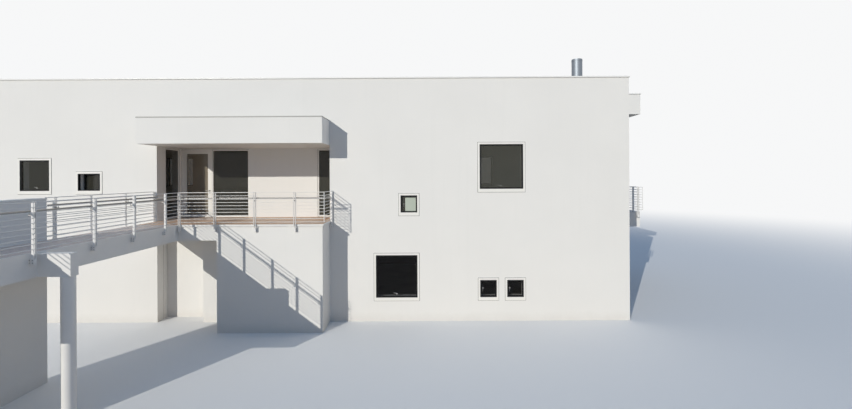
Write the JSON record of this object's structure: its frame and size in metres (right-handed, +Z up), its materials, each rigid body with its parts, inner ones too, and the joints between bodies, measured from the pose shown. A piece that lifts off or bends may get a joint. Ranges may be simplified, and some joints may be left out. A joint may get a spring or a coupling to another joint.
{
  "type": "detached two-storey flat-roofed house with a footbridge entrance",
  "caption": "White rendered two-storey house with a flat roof, a recessed upper entrance under a box canopy, a balcony over a lower bay and a footbridge on a column and side wall.",
  "frame": {"origin": "on the ground, on the underside of the ground floor slab, at the middle of the main body's footprint", "axes": "+X to the right along the front as seen from outside, +Y from the front to the rear, +Z up"},
  "size_m": [26.72, 18.2, 9.17],
  "materials": {
    "render": "fine smooth white painted render",
    "concrete": "smooth concrete floor",
    "roofing": "grey roof membrane",
    "coping": "white painted metal coping",
    "deck": "pale tan boards",
    "white_steel": "white paint",
    "edge_metal": "grey metal edge",
    "rail": "white powder coat",
    "handrail": "satin steel tube",
    "flue": "stainless steel",
    "window_trim": "white paint",
    "window_frame": "black satin paint",
    "glass": "clear double glazing",
    "white_frame": "white satin paint",
    "handle": "satin steel"
  },
  "bodies": {
    "root": {"front_wall_left": "render", "front_wall_right": "render", "wall_over_entrance": "render", "front_pier": "render", "left_wall": "render", "right_wall": "render", "rear_wall": "render", "recess_left_wall": "render", "recess_right_wall": "render", "recess_back_wall": "render", "undercroft_wall": "render", "bay_front_wall": "render", "bay_side_walls": "render", "entrance_canopy": "render", "landing_slab": "render", "bridge_side_wall": "render", "terrace_slab": "render", "terrace_canopy": "render", "ground_floor_slab": "concrete", "upper_floor": "concrete", "roof_slab": "roofing", "roof_coping": "coping", "side_wall_coping": "coping", "canopy_coping": "edge_metal", "balcony_deck": "deck", "bridge_deck": "deck", "bridge_slab": "white_steel", "bridge_column": "white_steel", "outrigger_beam": "white_steel", "balcony_front_balustrade": "rail", "balcony_side_balustrade": "rail", "bridge_right_balustrade": "rail", "bridge_left_balustrade": "rail", "terrace_balustrade": "rail", "handrails": "handrail", "flue": "flue", "window_surrounds": "window_trim", "window_frames": "window_frame", "window_glass": "glass", "entrance_door_glass": "glass", "entrance_window_glass": "glass", "entrance_door_frame": "white_frame", "entrance_door_leaf": "white_frame", "entrance_window_frames": "white_frame", "entrance_door_handle": "handle"}
  },
  "joints": []
}
